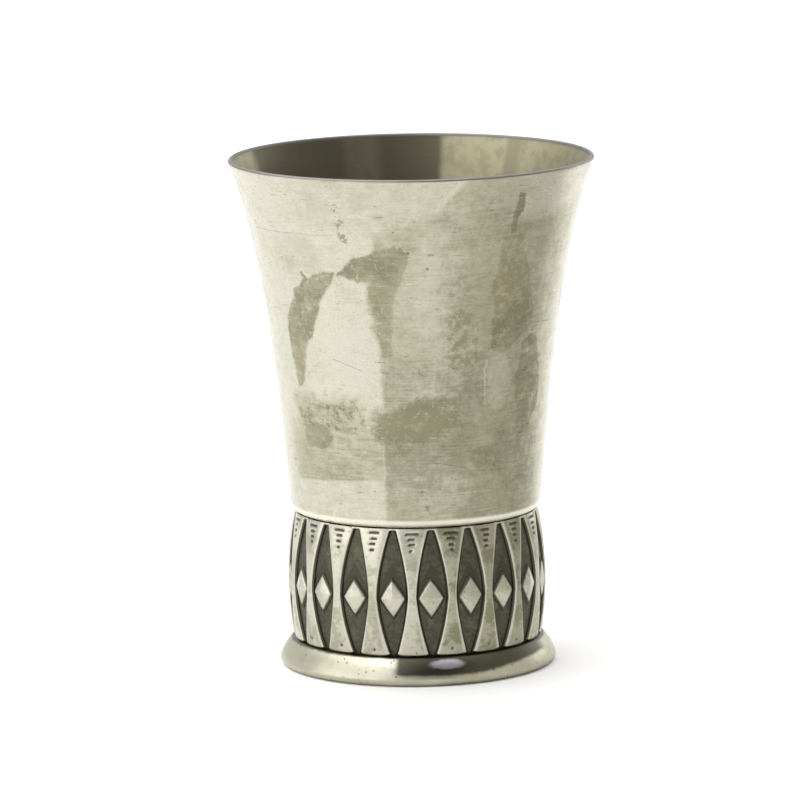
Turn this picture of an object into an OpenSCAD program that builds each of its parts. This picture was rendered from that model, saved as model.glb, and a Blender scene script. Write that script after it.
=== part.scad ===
// Stemless communion cup of the flared beaker form. A spun bowl is seated on a short drum. A
// pierced frieze of pointed lozenges wraps the drum, a diamond stud stands in each lozenge, and
// the drum stands on a splayed foot ring that a base plate closes from below.
// Millimetres, +Z up, origin at the middle of the face that the foot ring rests on.

/* [Overall] */
// Height from the table to the lip
total_h = 90; // [80:1:110]
// Outside diameter at the lip
rim_d = 64.2; // [53:0.1:78]
// Diameter of the frieze at its top edge, the narrowest place
waist_d = 43; // [35:0.5:52]

/* [Bowl] */
// Thickness of the spun sheet
wall = 0.9; // [0.7:0.05:1.3]
// Thickness of the bowl's floor
floor_t = 1.2; // [0.9:0.1:1.6]
// How far the bowl's lower corner stands out past the frieze
corner_overhang = 0.65; // [0.3:0.05:1.2]
// Radius of the bowl's lower corner
corner_r = 1.6; // [0.8:0.1:2.4]
// How far the straight taper opens the bowl on each side
taper = 5.1; // [3:0.1:6.5]
// Extra turn-out of the lip on each side
lip_turn = 0.5; // [0:0.05:1]
// Height of the zone that the lip's turn-out takes up
lip_h = 8; // [4:0.5:14]
// Fillet inside the bowl where the wall meets the floor
inner_fillet = 2.2; // [1:0.1:3]
// Depth of the step in the floor that centres the bowl in the drum
step_depth = 1.5; // [0.8:0.1:2.5]

/* [Frieze and drum] */
// Height of the frieze
frieze_h = 22.7; // [18:0.1:28]
// How far the frieze's belly stands out past a straight line between its edges
belly = 1.1; // [0.2:0.05:2]
// How much wider the frieze is at the bottom than at the top, on each side
frieze_spread = 0.4; // [0:0.1:1]
// Depth of the relief, from the struts' faces down to the ground
relief = 0.6; // [0.4:0.05:1]
// Height of the plain rail that ties the struts together at the top
rail_h = 0.4; // [0.2:0.1:1]
// Thickness of the drum at its thinnest
drum_wall = 0.85; // [0.6:0.05:1.5]

/* [Lozenges] */
// Number of lozenges round the cup
lozenge_count = 20; // [14:1:24]
// Turn of the first lozenge from the front, seen from above
pattern_turn = 6.5; // [0:0.5:25]
// Width of a strut at its narrowest
strut_w = 1.4; // [0.8:0.05:3]
// Width of a lozenge at its cut-off top end
lozenge_top_w = 1.4; // [0.8:0.1:2.5]
// Width of a lozenge where it opens at the bottom of the frieze
lozenge_bottom_w = 1.3; // [0.8:0.1:2.5]
// Height of the widest place above the frieze's bottom edge
lozenge_mid_h = 11.1; // [8:0.1:14]
// Roundness of a lozenge's upper sides, where 1 is straight
upper_fullness = 1.6; // [1:0.05:2]
// Roundness of a lozenge's lower sides, where 1 is straight
lower_fullness = 1.6; // [1:0.05:2]

/* [Studs] */
// Gap between a stud's base and the struts beside it
stud_gap = 0.25; // [0.15:0.05:0.6]
// Height of a stud's base, point to point
stud_h = 7.6; // [5:0.1:9]
// How far a stud sits below the widest place of its lozenge
stud_drop = 0.6; // [0:0.1:1.5]
// Width of the sloped flank round a stud
stud_flank = 0.65; // [0.3:0.05:0.9]
// Height of the flanks' upper edge above the ground
stud_shoulder = 0.45; // [0.2:0.05:0.9]
// Height of a stud's point above the ground
stud_rise = 0.75; // [0.4:0.05:1.2]

/* [Foot] */
// Height of the foot ring's seat, where the drum and the frieze stand
foot_h = 4.8; // [4:0.1:7]
// Width of the ledge that shows beside the frieze's bottom edge
foot_ledge = 0.25; // [0:0.05:0.6]
// How far the foot splays out below the ledge
foot_splay = 2.25; // [1:0.05:4]
// Outward crown of the splayed skirt
foot_crown = 0.3; // [0:0.05:0.6]
// Radius of the foot's lower outer edge
foot_edge_r = 1.2; // [0.6:0.1:1.6]
// Width of the flat ring that touches the table
contact_w = 1; // [0.6:0.1:2]
// Height of the collar that centres the drum on the foot ring
collar_h = 2; // [1:0.1:3]
// Thickness of that collar
collar_wall = 1; // [0.7:0.1:1.5]
// Thickness of the base plate
plate_t = 1; // [0.6:0.1:1.4]
// Depth of the base plate above the table
plate_recess = 0.8; // [0.4:0.1:1.5]
// Upward dishing of the base plate's middle
plate_dish = 0.5; // [0:0.1:1]
// Diameter of the vent that lets air out while the pieces are soldered
vent_d = 1.2; // [0.8:0.1:2]

/* [Fits] */
// Solder film between the drum and what is laid on its outside
solder_film = 0.05; // [0.02:0.01:0.1]
// Clearance on each side of a piece that drops into another
fit_gap = 0.05; // [0.02:0.01:0.15]

/* [Hidden] */
$fn = 240;
wall_steps = 24; // straight stretches in the bowl's flare
side_steps = 6; // straight stretches in each side of a lozenge
stud_steps = 6; // straight stretches in the hollow behind a stud
past = 1; // how far a cutting shape runs past what it cuts

bowl_z = foot_h + frieze_h; // underside of the bowl, top of the frieze and drum
waist_r = waist_d / 2;
bowl_base_r = waist_r + corner_overhang;
flare_z = bowl_z + corner_r; // where the bowl's corner ends and its flare starts
lip_z = total_h - wall / 2; // middle of the rounded lip
flare = rim_d / 2 - bowl_base_r - taper - lip_turn; // curved share of each side's opening

// The frieze's side is one arc, through its bottom edge, its belly and its top edge
bottom_p = [waist_r + frieze_spread, foot_h];
top_p = [waist_r, bowl_z];
half_chord = norm(top_p - bottom_p) / 2;
barrel_r = (half_chord * half_chord + belly * belly) / (2 * belly);
chord_way = (top_p - bottom_p) / (2 * half_chord);
barrel_p = (top_p + bottom_p) / 2 + (barrel_r - belly) * [-chord_way.y, chord_way.x];
function frieze_r(z) = barrel_p.x + sqrt(pow(barrel_r, 2) - pow(z - barrel_p.y, 2));
function ground_r(z) = frieze_r(z) - relief;
function bowl_r(z) = let (t = (z - flare_z) / (lip_z - flare_z))
    bowl_base_r + taper * t + flare * pow(t, 3)
    + lip_turn * pow(max(0, 1 - (lip_z - z) / lip_h), 2);

drum_bore_r = waist_r - relief - solder_film - drum_wall;
step_r = drum_bore_r - fit_gap;
step_in_r = step_r - floor_t;
floor_z = bowl_z + floor_t; // the bowl's inner floor, outside its centring step

foot_top_r = frieze_r(foot_h) + foot_ledge;
foot_r = foot_top_r + foot_splay;
contact_r = foot_r - foot_edge_r; // outer edge of the flat that rests on the table
plate_bore_r = contact_r - contact_w;
collar_r = drum_bore_r - fit_gap;
plate_r = plate_bore_r - fit_gap;
plate_top_z = plate_recess + plate_t;
vent_x = 0.6 * plate_r;

pitch = 360 / lozenge_count;
mid_z = foot_h + lozenge_mid_h;
window_top_z = bowl_z - rail_h;
lozenge_w = 2 * PI * frieze_r(mid_z) / lozenge_count - strut_w;
stud_w = lozenge_w - 2 * stud_gap;
stud_z = mid_z - stud_drop;

function two_digits(i) = str(i < 10 ? "0" : "", i);
function stud_name(i) = str("diamond_stud_", two_digits(i));
stud_names = [for (i = [1 : lozenge_count]) stud_name(i)];

silver = "#bdbaa2";
polished = "#cfccb6";
oxidised = "#4a4839";

// Points of an arc about c, from angle a to angle b
function arc(c, r, a, b, n) = [for (i = [0 : n]) let (v = a + (b - a) * i / n)
    c + r * [cos(v), sin(v)]];

// Heights from a to b in n steps
function climb(a, b, n) = [for (i = [0 : n]) a + (b - a) * i / n];

// Turns a shape so that its +X side faces lozenge number i; number 1 is nearest the front
module at_lozenge(i) {
    rotate([0, 0, -90 + pattern_turn + (i - 1) * pitch]) children();
}

// Solid barrel that the ground of the frieze lies on, let out by gap or taken in where it is negative
module barrel(gap) {
    rotate_extrude() intersection() {
        translate(barrel_p) circle(r = barrel_r - relief + gap);
        translate([0, foot_h]) square([2 * waist_r, frieze_h]);
    }
}

// Spun bowl: flared wall with a rounded lip, and a floor stepped down into the drum
module bowl() {
    inner_fillet_r = min(inner_fillet, bowl_r(floor_z + inner_fillet) - wall - step_in_r - 0.1);
    fillet_z = floor_z + inner_fillet_r;
    fillet_x = bowl_r(fillet_z) - wall - inner_fillet_r;
    outside = [for (z = climb(flare_z, lip_z, wall_steps)) [bowl_r(z), z]];
    inside = [for (z = climb(lip_z, fillet_z, wall_steps)) [bowl_r(z) - wall, z]];
    color(silver) rotate_extrude() polygon(concat(
        [[0, bowl_z - step_depth], [step_r, bowl_z - step_depth], [step_r, bowl_z]],
        arc([bowl_base_r - corner_r, flare_z], corner_r, -90, -10, 6),
        outside,
        arc([bowl_r(lip_z) - wall / 2, lip_z], wall / 2, 20, 160, 6),
        inside,
        arc([fillet_x, fillet_z], inner_fillet_r, -10, -90, 6),
        [[step_in_r, floor_z], [step_in_r, floor_z - step_depth], [0, floor_z - step_depth]]));
}

// Drum behind the frieze: its barrel side is the dark ground, and its bore is straight
module drum() {
    color(oxidised) difference() {
        barrel(-solder_film);
        translate([0, 0, foot_h - past]) cylinder(r = drum_bore_r, h = frieze_h + 2 * past);
    }
}

// Half the width of a lozenge at height z
function lozenge_half(z) = let (
    up = z > mid_z,
    reach = up ? window_top_z - mid_z : mid_z - foot_h,
    end_w = up ? lozenge_top_w : lozenge_bottom_w,
    u = min(1, abs(z - mid_z) / reach),
    fullness = up ? upper_fullness : lower_fullness)
    end_w / 2 + (lozenge_w - end_w) / 2 * (1 - pow(u, fullness));

// Outline of a window, sideways and up, which runs out through the frieze's bottom edge
module lozenge_outline() {
    levels = concat(climb(foot_h, mid_z, side_steps),
        [for (i = [1 : side_steps]) mid_z + (window_top_z - mid_z) * i / side_steps]);
    right = [for (z = levels) [lozenge_half(z), z]];
    left = [for (i = [len(levels) - 1 : -1 : 0]) [-lozenge_half(levels[i]), levels[i]]];
    polygon(concat([[lozenge_bottom_w / 2, foot_h - past]], right, left,
        [[-lozenge_bottom_w / 2, foot_h - past]]));
}

// Pierced frieze: a barrel-shaped band with a lozenge window over each stud
module lozenge_frieze() {
    color(polished) at_lozenge(1) rotate([0, 0, -pitch / 2]) difference() {
        barrel(relief);
        barrel(0);
        for (i = [1 : lozenge_count]) rotate([0, 0, (i - 0.5) * pitch])
            translate([waist_r / 2, 0, 0]) rotate([90, 0, 90])
                linear_extrude(waist_r) lozenge_outline();
    }
}

// A diamond's four corners at depth x: right, top, left and bottom
function diamond(x, half_w, half_h) = [
    [x, half_w, stud_z], [x, 0, stud_z + half_h], [x, -half_w, stud_z], [x, 0, stud_z - half_h]];

// One stud: a low pyramid on sloped flanks, hollowed behind to the drum's curve
module diamond_stud(i) {
    back = ground_r(stud_z);
    root = back - relief;
    face_scale = 1 - 2 * stud_flank / stud_w;
    points = concat(
        diamond(root, stud_w / 2, stud_h / 2),
        diamond(back, stud_w / 2, stud_h / 2),
        diamond(back + stud_shoulder, face_scale * stud_w / 2, face_scale * stud_h / 2),
        [[back + stud_rise, 0, stud_z]]);
    sides = [for (ring = [0, 4], k = [0 : 3]) let (n = (k + 1) % 4)
        [ring + k, ring + 4 + k, ring + 4 + n, ring + n]];
    facets = [for (k = [0 : 3]) [8 + k, 12, 8 + (k + 1) % 4]];
    hollow = climb(stud_z - stud_h / 2 - past, stud_z + stud_h / 2 + past, stud_steps);
    color(polished) difference() {
        at_lozenge(i) polyhedron(points, concat([[0, 1, 2, 3]], sides, facets));
        rotate_extrude() polygon(concat([[0, hollow[0]]], [for (z = hollow) [ground_r(z), z]],
            [[0, hollow[stud_steps]]]));
    }
}

// Splayed foot ring: a seat for the drum and frieze, a collar inside the drum and a rebate below
module foot_ring() {
    skirt = [for (s = [1 : -0.125 : 0])
        [foot_top_r + foot_splay * s + 4 * foot_crown * s * (1 - s),
            foot_h + (foot_edge_r - foot_h) * s]];
    color(silver) rotate_extrude() polygon(concat(
        [[plate_bore_r, 0]],
        arc([contact_r, foot_edge_r], foot_edge_r, -90, -15, 5),
        skirt,
        [[collar_r, foot_h], [collar_r, foot_h + collar_h],
            [collar_r - collar_wall, foot_h + collar_h],
            [collar_r - collar_wall, plate_top_z], [plate_bore_r, plate_top_z]]));
}

// Base plate: a disc let into the foot ring, dished upwards, with a vent
module base_plate() {
    dish_r = collar_r - collar_wall - fit_gap - plate_dish;
    color(silver) difference() {
        rotate_extrude() polygon([
            [0, plate_recess + plate_dish], [dish_r - plate_dish, plate_recess + plate_dish],
            [dish_r, plate_recess], [plate_r, plate_recess], [plate_r, plate_top_z],
            [dish_r, plate_top_z], [dish_r - plate_dish, plate_top_z + plate_dish],
            [0, plate_top_z + plate_dish]]);
        translate([vent_x, 0, 0]) cylinder(d = vent_d, h = plate_top_z + plate_dish + past);
    }
}

bowl();
drum();
lozenge_frieze();
for (i = [1 : lozenge_count]) diamond_stud(i);
foot_ring();
base_plate();
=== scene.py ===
"""Stemless communion cup: builds its bowl, frieze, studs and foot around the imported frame."""
import math
import random

import bmesh
import bpy
from bpy.props import FloatProperty, FloatVectorProperty, PointerProperty
from mathutils import Matrix, Vector, noise


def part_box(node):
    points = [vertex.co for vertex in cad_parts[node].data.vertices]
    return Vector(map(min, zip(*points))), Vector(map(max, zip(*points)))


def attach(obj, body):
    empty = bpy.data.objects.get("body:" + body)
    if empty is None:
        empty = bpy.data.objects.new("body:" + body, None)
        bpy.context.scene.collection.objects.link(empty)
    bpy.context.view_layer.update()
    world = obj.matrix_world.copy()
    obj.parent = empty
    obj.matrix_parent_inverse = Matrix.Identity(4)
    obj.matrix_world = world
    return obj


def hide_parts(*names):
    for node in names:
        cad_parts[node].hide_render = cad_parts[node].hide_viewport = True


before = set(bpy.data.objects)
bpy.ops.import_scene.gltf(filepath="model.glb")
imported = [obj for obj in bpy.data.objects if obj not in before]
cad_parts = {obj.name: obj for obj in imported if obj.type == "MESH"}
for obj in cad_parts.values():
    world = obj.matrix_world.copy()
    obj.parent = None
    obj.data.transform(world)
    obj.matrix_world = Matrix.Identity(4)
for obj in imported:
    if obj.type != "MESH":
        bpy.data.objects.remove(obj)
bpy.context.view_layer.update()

bl_info = {
    "name": "Communion Cup",
    "version": (1, 0, 0),
    "blender": (4, 5, 0),
    "location": "3D View > Sidebar > Communion Cup",
    "description": "Flared silver beaker with a lozenge frieze and a splayed foot",
    "category": "Add Mesh",
}

MM = 0.001
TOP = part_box("bowl")[1].z
RIM_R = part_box("bowl")[1].x
FOOT_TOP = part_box("lozenge_frieze")[0].z
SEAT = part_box("lozenge_frieze")[1].z
FOOT_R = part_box("foot_ring")[1].x
STEP_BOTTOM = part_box("bowl")[0].z
STEPS_ROUND = 288  # points round each turned piece
STUD_NODES = sorted(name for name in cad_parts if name.startswith("diamond_stud_"))


# ---------------------------------------------------------------- sizes and colours

def length(name, description, millimetres):
    """A size in metres, given in millimetres"""
    return FloatProperty(name=name, description=description, default=millimetres * MM,
                         min=0.0, precision=5, unit="LENGTH")


def colour(name, description, rgb):
    """A colour in linear light"""
    return FloatVectorProperty(name=name, description=description, default=rgb,
                               size=3, min=0.0, max=1.0, subtype="COLOR")


def share(name, description, value):
    """A number from 0 to 1"""
    return FloatProperty(name=name, description=description, default=value,
                         min=0.0, max=1.0, subtype="FACTOR")


class BowlSizes(bpy.types.PropertyGroup):
    """Sizes of the spun bowl"""
    wall: length("Wall", "Thickness of the spun sheet", 0.9)
    floor: length("Floor", "Thickness of the bowl's floor", 1.2)
    overhang: length("Overhang", "How far the lower corner stands out past the frieze", 0.65)
    corner: length("Corner", "Radius of the lower corner", 1.6)
    taper: length("Taper", "How far the straight taper opens each side", 5.1)
    lip_turn: length("Lip turn", "Extra turn-out of the lip", 0.5)
    lip_height: length("Lip height", "Height of the zone that turns out", 8.0)
    fillet: length("Inner fillet", "Fillet between the wall and the floor, inside", 2.2)
    waver: length("Waver", "How far the hand-worked wall wanders from round", 0.05)


class FriezeSizes(bpy.types.PropertyGroup):
    """Sizes of the frieze, of the ground behind it and of the studs"""
    waist: length("Waist", "Radius of the frieze at its top edge", 21.5)
    spread: length("Spread", "How much wider each side is at the bottom", 0.4)
    belly: length("Belly", "How far the side stands out past a straight line", 1.1)
    relief: length("Relief", "Depth from the struts' faces to the ground", 0.6)
    rail: length("Rail", "Height of the plain rail over the windows", 0.4)
    film: length("Solder film", "Gap between the drum and what is laid on it", 0.05)
    drum_bore: length("Drum bore", "Radius of the drum's bore", 20.0)
    turn: FloatProperty(name="Turn", description="Angle of the first lozenge from the front",
                        default=math.radians(6.5), unit="ROTATION")
    strut: length("Strut", "Width of a strut at its narrowest", 1.4)
    top_gap: length("Top gap", "Width of a lozenge at its top end", 1.4)
    bottom_gap: length("Bottom gap", "Width of a lozenge at its bottom end", 1.3)
    middle: length("Middle", "Height of the widest place above the bottom edge", 11.1)
    upper_fullness: FloatProperty(name="Upper fullness", default=1.6, min=1.0,
                                  description="Roundness of a lozenge's upper sides")
    lower_fullness: FloatProperty(name="Lower fullness", default=1.6, min=1.0,
                                  description="Roundness of a lozenge's lower sides")
    slope: length("Slope", "Width of the sloped wall beside a strut", 0.42)
    bevel_from: share("Bevel from", "Share of a strut's half width where its soft edge starts", 0.7)
    arch: length("Arch", "How far the corners at the struts' feet are rounded off", 0.35)
    dash_pitch: length("Dash pitch", "Distance between chased dashes", 0.95)
    dash_depth: length("Dash depth", "Depth of a chased dash", 0.30)
    stud_gap: length("Stud gap", "Gap between a stud's base and the struts", 0.25)
    stud_height: length("Stud height", "Height of a stud's base, point to point", 7.6)
    stud_drop: length("Stud drop", "How far a stud sits below its lozenge's widest place", 0.6)
    stud_flank: length("Stud flank", "Width of the sloped flank round a stud", 0.65)
    stud_shoulder: length("Stud shoulder", "Height of the flanks' upper edge", 0.36)
    stud_rise: length("Stud rise", "Height of a stud's point", 0.75)


class FootSizes(bpy.types.PropertyGroup):
    """Sizes of the foot ring"""
    ledge: length("Ledge", "Width of the ledge beside the frieze", 0.25)
    crown: length("Crown", "Outward crown of the skirt", 0.3)
    edge: length("Edge", "Radius of the lower outer edge", 1.2)
    contact: length("Contact", "Width of the ring that rests on the table", 1.0)
    collar: length("Collar", "Radius of the collar inside the drum", 19.95)
    collar_wall: length("Collar wall", "Thickness of the collar", 1.0)
    collar_height: length("Collar height", "Height of the collar above the seat", 2.0)
    rebate: length("Rebate", "Height of the shoulder over the base plate", 1.8)
    waver: length("Waver", "How far the worn foot wanders from round", 0.05)


class SilverLook(bpy.types.PropertyGroup):
    """Colours and roughness of the silver in its several states"""
    polished: colour("Polished", "Rubbed silver", (0.505, 0.490, 0.405))
    # this colour is used for bright wear and also for painted reflections and highlights on the bowl's
    # lower corner and the struts' edges
    bright: colour("Bright", "Silver worn bright at corners and edges", (0.72, 0.705, 0.60))
    tarnish: colour("Tarnish", "Grey-green tarnish", (0.212, 0.208, 0.134))
    tan: colour("Tan", "Warm thin tarnish", (0.305, 0.280, 0.165))
    # this colour is both brown stain and a painted dark reflection inside the bowl
    stain_and_painted_reflection: colour("Stain", "Brown stain inside the bowl", (0.104, 0.096, 0.064))
    inside: colour("Inside", "Thin film inside the bowl", (0.330, 0.312, 0.205))
    # painted highlight: the lilac spot on the foot's front is a reflection painted into the colour
    worn_and_painted_highlight: colour("Worn", "Bare lilac-grey metal on the foot", (0.52, 0.49, 0.53))
    lip: colour("Lip", "Grey film on the lip", (0.17, 0.16, 0.155))
    # this colour is used both for real dirt in pits and for painted shade in crevices, at the seats,
    # over the studs and in dark reflections
    dirt_and_shade: colour("Dirt", "Dirt in pits and crevices", (0.055, 0.052, 0.035))
    oxide: colour("Oxide", "Oxidised ground of the frieze", (0.085, 0.082, 0.058))
    polished_roughness: share("Polished roughness", "Roughness where rubbed", 0.27)
    tarnish_roughness: share("Tarnish roughness", "Roughness where tarnished", 0.42)
    oxide_roughness: share("Oxide roughness", "Roughness of the oxidised ground", 0.5)


class StageLook(bpy.types.PropertyGroup):
    """Floor, lights and camera"""
    floor: colour("Floor", "Colour of the pale floor", (0.92, 0.92, 0.90))
    overhead: FloatProperty(name="Overhead light", description="Power of the overhead light",
                            default=26.0, unit="POWER")
    side: FloatProperty(name="Side light", description="Power of the soft light on the left",
                        default=4.2, unit="POWER")
    rim: FloatProperty(name="Rim light", description="Power of the soft light behind the right",
                       default=0.6, unit="POWER")
    flag: colour("Flag", "Grey card that the right of the cup mirrors", (0.68, 0.67, 0.64))
    horizon: FloatProperty(name="Horizon", description="Brightness of the pale surround",
                           default=1.0)
    ceiling: FloatProperty(name="Ceiling", description="Brightness of the room above",
                           default=0.15)
    window: FloatProperty(name="Window side", description="Brightness of the room on the left",
                          default=0.75)


class CupSettings(bpy.types.PropertyGroup):
    """Everything that a user would change"""
    bowl: PointerProperty(type=BowlSizes, name="Bowl", description="The spun bowl")
    frieze: PointerProperty(type=FriezeSizes, name="Frieze", description="Frieze and studs")
    foot: PointerProperty(type=FootSizes, name="Foot", description="The foot ring")
    silver: PointerProperty(type=SilverLook, name="Silver", description="The silver's looks")
    stage: PointerProperty(type=StageLook, name="Stage", description="Floor, lights, camera")


# ---------------------------------------------------------------- shader expressions

class Wire:
    """A socket in a node tree: an expression on wires adds its Math nodes"""

    def __init__(self, tree, socket):
        self.tree = tree
        self.socket = socket

    def __add__(self, other):
        return self.tree.math("ADD", self, other)

    __radd__ = __add__

    def __sub__(self, other):
        return self.tree.math("SUBTRACT", self, other)

    def __rsub__(self, other):
        return self.tree.math("SUBTRACT", other, self)

    def __mul__(self, other):
        return self.tree.math("MULTIPLY", self, other)

    __rmul__ = __mul__

    def __truediv__(self, other):
        return self.tree.math("DIVIDE", self, other)

    def __neg__(self):
        return self.tree.math("MULTIPLY", self, -1.0)

    def __pow__(self, other):
        return self.tree.math("POWER", self, other)

    def __abs__(self):
        return self.tree.math("ABSOLUTE", self)

    def over(self, other):
        """The larger of two values"""
        return self.tree.math("MAXIMUM", self, other)

    def under(self, other):
        """The smaller of two values"""
        return self.tree.math("MINIMUM", self, other)

    def held(self):
        """The value held between 0 and 1"""
        return self.over(0.0).under(1.0)


class NodeTree:
    """Adds nodes to a tree, each by its type, its settings and its sockets' values or links"""

    def __init__(self, tree):
        self.tree = tree
        tree.nodes.clear()

    def node(self, kind, settings=None, sockets=None, out=0):
        made = self.tree.nodes.new(kind)
        for key, value in (settings or {}).items():
            setattr(made, key, value)
        for key, value in (sockets or {}).items():
            if isinstance(value, Wire):
                self.tree.links.new(value.socket, made.inputs[key])
            else:
                made.inputs[key].default_value = value
        return Wire(self, made.outputs[out]) if len(made.outputs) else made

    def math(self, operation, a, b=0.0):
        return self.node("ShaderNodeMath", {"operation": operation}, {0: a, 1: b})

    def vector(self, operation, a, b=(0.0, 0.0, 0.0), out=0):
        return self.node("ShaderNodeVectorMath", {"operation": operation}, {0: a, 1: b}, out)

    def mixed(self, amount, a, b, blend="MIX"):
        """Colour a, turned into colour b by amount"""
        settings = {"data_type": "RGBA", "blend_type": blend, "clamp_factor": True}
        sockets = {0: amount, 6: _rgba(a), 7: _rgba(b)}
        return self.node("ShaderNodeMix", settings, sockets, 2)

    def smooth(self, value, low, high, start=0.0, end=1.0):
        """An S curve from start to end as value goes from low to high"""
        sockets = {"Value": value, "From Min": low, "From Max": high,
                   "To Min": start, "To Max": end}
        return self.node("ShaderNodeMapRange", {"interpolation_type": "SMOOTHSTEP"}, sockets)

    def noise(self, place, scale, detail=2.0, roughness=0.5, distortion=0.0):
        """Noise from 0 to 1, with scale in cells per millimetre"""
        sockets = {"Vector": place, "Scale": scale, "Detail": detail,
                   "Roughness": roughness, "Distortion": distortion}
        return self.node("ShaderNodeTexNoise", {}, sockets)

    def noise_colour(self, place, scale, detail=2.0):
        """Three noises from 0 to 1, as a vector"""
        sockets = {"Vector": place, "Scale": scale, "Detail": detail}
        return self.node("ShaderNodeTexNoise", {}, sockets, 1)


def _rgba(value):
    if isinstance(value, Wire):
        return value
    return (*value, 1.0)


class Finish(NodeTree):
    """A material on a round cup, with the places that its maker would name"""

    def __init__(self, name):
        self.material = bpy.data.materials.new(name)
        self.material.use_nodes = True
        super().__init__(self.material.node_tree)
        where = self.node("ShaderNodeTexCoord", out="Object")
        self.place = self.node("ShaderNodeVectorMath", {"operation": "SCALE"},
                               {0: where, "Scale": 1 / MM})
        self.x, self.y, self.z = (
            self.node("ShaderNodeSeparateXYZ", {}, {0: self.place}, out) for out in range(3))
        self.radius = self.math("SQRT", self.x * self.x + self.y * self.y)
        around = self.math("ARCTAN2", self.x, -self.y)
        self.angle = around * math.degrees(1.0)

    def unrolled(self, warp_far, warp_near):
        """The wall laid flat, in millimetres, with its outlines made to wander"""
        flat = self.node("ShaderNodeCombineXYZ", {}, {0: self.angle * ROLL, 1: self.z})
        for scale, amount in ((0.16, warp_far), (0.75, warp_near)):
            drift = self.noise_colour(self.place, scale)
            drift = self.vector("SUBTRACT", drift, (0.5, 0.5, 0.5))
            drift = self.vector("MULTIPLY", drift, (amount, amount, 0.0))
            flat = self.vector("ADD", flat, drift)
        return flat

    def band(self, flat, stops):
        """Distance outside a band whose stops are (angle, height, half width)"""
        nearest = None
        for (a0, z0, w0), (a1, z1, w1) in zip(stops, stops[1:]):
            start = Vector((a0 * ROLL, z0, 0.0))
            way = Vector((a1 * ROLL, z1, 0.0)) - start
            here = self.vector("SUBTRACT", flat, start)
            along = self.vector("DOT_PRODUCT", here, way / way.length_squared, out=1).held()
            back = self.vector("MULTIPLY", along_vector(self, along), way)
            off = self.vector("LENGTH", self.vector("SUBTRACT", here, back), out=1)
            gap = off - (along * (w1 - w0) + w0)
            nearest = gap if nearest is None else nearest.under(gap)
        return nearest

    def patch(self, flat, stops, blur=0.25):
        """1 inside a band, 0 outside it"""
        return self.smooth(self.band(flat, stops), blur, -blur)

    def turned_lines(self):
        """Fine lines left by turning and wiping round the cup"""
        stretched = self.vector("MULTIPLY", self.place, (0.12, 0.12, 5.0))
        return self.noise(stretched, 1.0, 3.0, 0.6)

    def specks(self, scale, share_left):
        """Small spots, 1 inside"""
        return self.smooth(self.noise(self.place, scale, 1.0), share_left, share_left + 0.03)

    def close(self, base, roughness, metallic, height):
        """Ends the material: height is a relief in millimetres"""
        bump = self.node("ShaderNodeBump", {}, {"Strength": 1.0, "Distance": MM, "Height": height})
        surface = self.node("ShaderNodeBsdfPrincipled", {}, {
            "Base Color": base, "Roughness": roughness, "Metallic": metallic, "Normal": bump})
        self.node("ShaderNodeOutputMaterial", {}, {"Surface": surface})
        return self.material


def along_vector(tree, value):
    """A value as a vector of three equal parts"""
    return tree.node("ShaderNodeCombineXYZ", {}, {0: value, 1: value, 2: value})


# ---------------------------------------------------------------- materials

ROLL = math.radians(1.0) * 25.0  # millimetres round the wall for each degree

# Outlines of the old tarnish, as (degrees from the front, height in mm, half width in mm)
CRESCENT = ((-31.5, 72.8, 0.7), (-36, 71, 1.7), (-44.5, 67.4, 3.0), (-49.5, 62.8, 3.2),
            (-52.4, 59.8, 2.5), (-53.6, 56, 1.6), (-54.2, 52.6, 0.9))
CRESCENT_HOOK = ((-44, 72.2, 0.2), (-41.5, 70.8, 0.4))
HOOD = ((-28, 73, 0.3), (-18, 73.6, 2.5), (-7.5, 75.5, 2.9))
HOOD_TAIL = ((-9.5, 73, 3.1), (-12, 68.5, 2.4), (-11.8, 63.5, 1.7), (-10.5, 58.5, 1.0))
FLASK_FLARE = ((34.5, 87, 0.8), (44, 87, 0.6))
FLASK_NECK = ((37.6, 86, 0.8), (37.8, 80, 0.85))
FLASK_SHOULDER = ((35.2, 77.9, 1.4), (41, 77.9, 1.4))
FLASK = ((38.3, 76, 2.7), (39.5, 70, 4.0), (42, 64.5, 4.7), (38, 60.5, 2.6))
CLOUD = ((18, 64.5, 2.4), (20, 60.5, 3.4), (20.5, 56.5, 3.3))
CROSS_BAND = ((-9, 56.3, 1.0), (3, 55.6, 1.7), (15, 54.8, 1.3))
HEART = ((-12, 45.6, 3.4), (2, 46.6, 4.8), (13, 48.0, 3.8))
SHEET = ((53, 58.3, 2.6), (54.5, 53.4, 4.0), (55.5, 48.5, 3.5), (53, 45, 2.5))
PANEL = ((37, 54.9, 2.8), (37, 50.8, 2.8))
PANEL_EDGE = ((30.2, 57, 0.12), (29.4, 53, 0.16), (30, 49, 0.1))
CLEARING = ((5.5, 75.5, 2.1), (5.5, 64, 2.2))
ARCH = ((-33, 66, 1.6), (-29, 59, 3.4), (-27, 55, 3.0))
LOW_STAIN = ((18, 43, 1.6), (28, 40.5, 2.6), (38, 38, 2.0))
LEFT_STAIN = ((-50.2, 43.3, 2.2), (-42.5, 43.5, 2.4))
SPECK_RING = ((7, 75, 1.4), (7.1, 75, 1.4))
SPECK_TRAIL = ((-25, 84.6, 0.9), (-23.5, 79, 0.7))
DRIP = ((4, 35, 0.9), (4.6, 31, 1.1))
SCRATCHES = (((54, 62.6, 0.05), (71, 62, 0.03)), ((-70, 79.3, 0.04), (-28, 79.7, 0.02)),
             ((-34, 57.5, 0.05), (-21, 55.6, 0.03)), ((8, 39.4, 0.05), (22, 38.3, 0.03)))


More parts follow.
